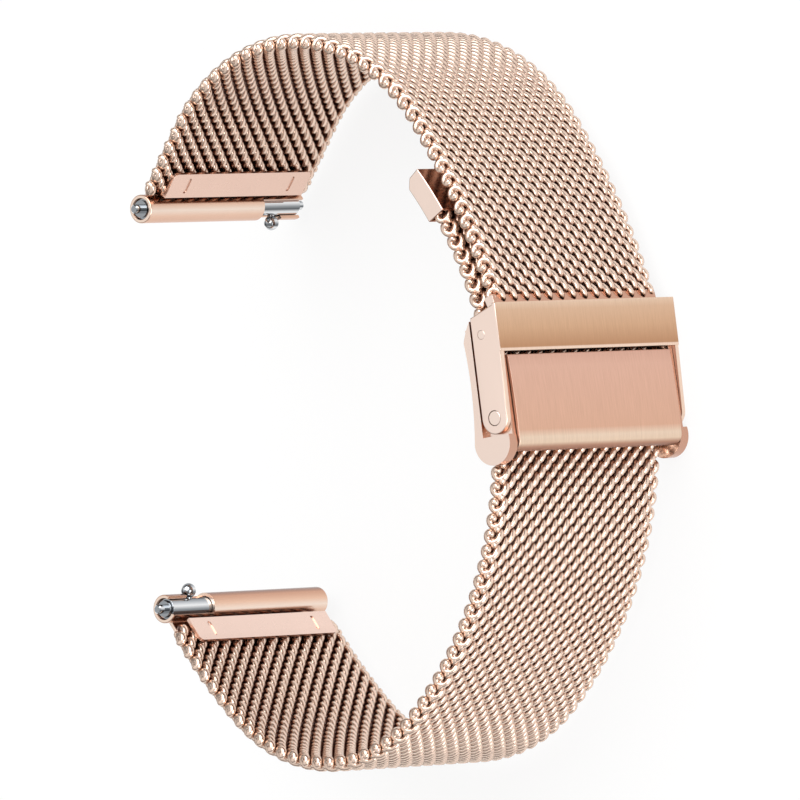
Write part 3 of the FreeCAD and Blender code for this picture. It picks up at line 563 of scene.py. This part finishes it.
MATERIALS = {
    "mesh_wire": wire_material(),
    "cover_brushed": brushed_material("cover_brushed", (2.9, 7.3), COVER_PAINTED_LIGHT, SIDE_SHEEN_PINK,
                                      (0.28, 0.38), 0.0015 * MM),
    # the lever's side faces get a mid painted tone
    "lever_brushed": brushed_material("lever_brushed", (-5.9, 2.9), LEVER_PAINTED_LIGHT, (0.80, 0.55, 0.44),
                                      (0.28, 0.38), 0.0015 * MM),
    # painted shade on the clasp's rims, pale painted sheen on its side faces
    "clasp_polished": rimmed_material("clasp_polished", (0.62, 0.35, 0.25), SIDE_SHEEN_PINK, (0.16, 0.24)),
    "fitting_polished": rolled_material("fitting_polished", TUBE_PAINTED_LIGHT, (0.2, 0.3)),
    "plate_satin": rolled_material("plate_satin", PLATE_PAINTED_LIGHT, (0.24, 0.34)),
    # painted dark shade on the pins' rims, pale painted sheen on their side faces
    "pin_steel": rimmed_material("pin_steel", (0.30, 0.14, 0.09), (0.98, 0.80, 0.70), (0.14, 0.2)),
    "bar_steel": rolled_material("bar_steel", STEEL_PAINTED_REFLECTIONS, (0.05, 0.12)),
}


# ------------------------------------------------------------------ the sheet-metal and turned parts

FINISHES = {
    "safety_cover": ("cover_brushed", 0.0),
    "lock_lever": ("lever_brushed", 0.07),
    "clasp_base": ("clasp_polished", 0.06),
    "hook_end": ("clasp_polished", 0.05),
    "tail_tip": ("clasp_polished", 0.12),
    "cover_rivets": ("pin_steel", 0.08),
    "cover_studs": ("pin_steel", 0.05),
    "hook_pin": ("pin_steel", 0.05),
    "lever_pin": ("pin_steel", 0.05),
}
for strap in ("short", "long"):
    FINISHES.update({
        strap + "_end_fitting": ("fitting_polished", 0.05),
        strap + "_grip_plate": ("plate_satin", 0.05),
        strap + "_bar_sleeve": ("bar_steel", 0.04),
        strap + "_bar_fixed_tip": ("bar_steel", 0.0),
        strap + "_bar_sliding_pin": ("bar_steel", 0.0),
        strap + "_release_knob": ("bar_steel", 0.0),
    })

BODY_OF = {node: body for body, nodes in frame["record"]["behaviour"]["bodies"].items() for node in nodes}


def eased_copy(name, width):
    """A copy of a node's mesh, joined at its corners, with its hard edges rounded off."""
    node = frame["nodes"][name]
    mesh = bpy.data.meshes.new(name + "_finished")
    work = bmesh.new()
    work.from_mesh(node.data)
    bmesh.ops.remove_doubles(work, verts=work.verts, dist=MERGE_DISTANCE)
    bmesh.ops.dissolve_limit(work, angle_limit=FLAT_ANGLE, verts=work.verts, edges=work.edges)
    points = [vertex.co[:] for vertex in work.verts]
    work.verts.index_update()
    faces = [[vertex.index for vertex in face.verts] for face in work.faces]
    work.free()
    mesh.from_pydata(points, [], faces)
    mesh.polygons.foreach_set("use_smooth", np.ones(len(faces), bool))
    mesh.set_sharp_from_angle(angle=SHARP_ANGLE)
    piece = bpy.data.objects.new(name + "_finished", mesh)
    bpy.context.scene.collection.objects.link(piece)
    if width:
        bevel = piece.modifiers.new("eased edges", "BEVEL")
        bevel.width, bevel.segments = width * MM, 3
        bevel.limit_method, bevel.angle_limit = "ANGLE", SHARP_ANGLE
        bevel.use_clamp_overlap = True
        bevel.harden_normals = True
    return piece


def finish_hard_parts():
    """Every metal part gets its finish on a copy with eased edges."""
    for name, (finish, width) in FINISHES.items():
        piece = eased_copy(name, width)
        piece.data.materials.append(MATERIALS[finish])
        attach(piece, BODY_OF[name])
        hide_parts(name)


def finish_springs():
    """A finished copy of each bar's spring, on its body.

    Its points and its fixed end's Z are read but not used, so the spring does not shorten as its pin is pushed in.
    """
    for joint in frame["record"]["behaviour"]["joints"]:
        for coil in joint.get("deforming_nodes", []):
            name, fixed_end = coil["node"], coil["fixed_end_z_m"]
            piece = eased_copy(name, 0.0)
            piece.data.materials.append(MATERIALS["bar_steel"])
            points = np.empty(len(piece.data.vertices) * 3)
            piece.data.vertices.foreach_get("co", points)
            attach(piece, BODY_OF[name])
            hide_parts(name)
            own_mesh(piece)


# ------------------------------------------------------------------ the studio

def floor():
    """A wide pale floor that looks white and keeps the band's soft shadow."""
    mesh = bpy.data.meshes.new("studio_floor")
    far = FLOOR_REACH
    mesh.from_pydata([(-far, -far, 0), (far, -far, 0), (far, far, 0), (-far, far, 0)], [], [(0, 1, 2, 3)])
    piece = bpy.data.objects.new("studio_floor", mesh)
    piece.location.z = -FLOOR_DROP
    bpy.context.scene.collection.objects.link(piece)
    material = bpy.data.materials.new("studio_floor")
    material.use_nodes = True
    tree = material.node_tree
    shader = tree.nodes["Principled BSDF"]
    shader.inputs["Base Color"].default_value = (0.9, 0.9, 0.9, 1)
    shader.inputs["Roughness"].default_value = 1.0
    shader.inputs["Specular IOR Level"].default_value = 0.0
    glow = add(tree, "ShaderNodeEmission", Strength=1.0)
    path = add(tree, "ShaderNodeLightPath")
    seen = add(tree, "ShaderNodeMath", operation="MAXIMUM")
    tree.links.new(path.outputs["Is Camera Ray"], seen.inputs[0])
    tree.links.new(path.outputs["Is Glossy Ray"], seen.inputs[1])
    seen_all = add(tree, "ShaderNodeMath", operation="MAXIMUM")
    tree.links.new(seen.outputs[0], seen_all.inputs[0])
    tree.links.new(path.outputs["Is Transmission Ray"], seen_all.inputs[1])
    share = add(tree, "ShaderNodeMath", operation="MULTIPLY")
    share.inputs[1].default_value = FLOOR_GLOW
    tree.links.new(seen_all.outputs[0], share.inputs[0])
    mix = add(tree, "ShaderNodeMixShader")
    tree.links.new(share.outputs[0], mix.inputs["Fac"])
    tree.links.new(shader.outputs[0], mix.inputs[1])
    tree.links.new(glow.outputs[0], mix.inputs[2])
    tree.links.new(mix.outputs[0], tree.nodes["Material Output"].inputs["Surface"])
    piece.data.materials.append(material)


def lamp(name, place, target, size, power):
    """A soft square lamp that faces a point."""
    data = bpy.data.lights.new(name, "AREA")
    data.shape = "RECTANGLE"
    data.size, data.size_y = size
    data.energy = power
    light = bpy.data.objects.new(name, data)
    light.location = place
    light.rotation_euler = (Vector(target) - Vector(place)).to_track_quat("-Z", "Y").to_euler()
    bpy.context.scene.collection.objects.link(light)


def studio():
    """Soft lamps around the band under a pale ceiling, with darker walls for the metal's contrast."""
    world = bpy.data.worlds.new("studio")
    bpy.context.scene.world = world
    world.use_nodes = True
    tree = world.node_tree
    place = add(tree, "ShaderNodeTexCoord")
    parts = add(tree, "ShaderNodeSeparateXYZ")
    tree.links.new(place.outputs["Generated"], parts.inputs[0])
    sky = tree.nodes["Background"]
    sky.inputs["Color"].default_value = (0.95, 0.95, 0.95, 1)
    tree.links.new(ranged(tree, parts.outputs["Z"], 0.12, 0.8, 0.2, 0.7), sky.inputs["Strength"])
    target = (0, 0, 0.01)
    lamp("back_softbox", (-0.03, 0.38, 0.46), target, (0.6, 0.5), 0.14)
    lamp("top_softbox", (0.3, -0.06, 0.46), target, (0.5, 0.5), 2.3)
    lamp("front_softbox", (-0.15, -0.5, 0.2), target, (0.45, 0.25), 1.6)


def camera():
    """A long-lens camera above the clasp's side, with the strap's width lying across the picture."""
    data = bpy.data.cameras.new("camera")
    data.sensor_width = 36.0
    data.lens = 729.0
    data.clip_start = 0.1
    view = bpy.data.objects.new("camera", data)
    right = Vector((0.0165, -0.7685, -0.6397)).normalized()
    up = Vector((0.9988, 0.0416, -0.0241)).normalized()
    back = right.cross(up).normalized()
    up = back.cross(right)
    view.matrix_world = Matrix.Translation((0.0636, -0.8991, 1.0941)) @ Matrix(
        (right, up, back)).transposed().to_4x4()
    bpy.context.scene.collection.objects.link(view)
    bpy.context.scene.camera = view
    bpy.context.scene.view_settings.view_transform = "Standard"


for weave in (woven_strap("long", LONG, TAIL_CAP_START, LONG.length + END_REACH, "tail")
              + woven_strap("short", SHORT, HOOK_WIRE_START, SHORT.length + END_REACH, "short_0")):
    weave.data.materials.append(MATERIALS["mesh_wire"])
finish_hard_parts()
finish_springs()
floor()
studio()
camera()
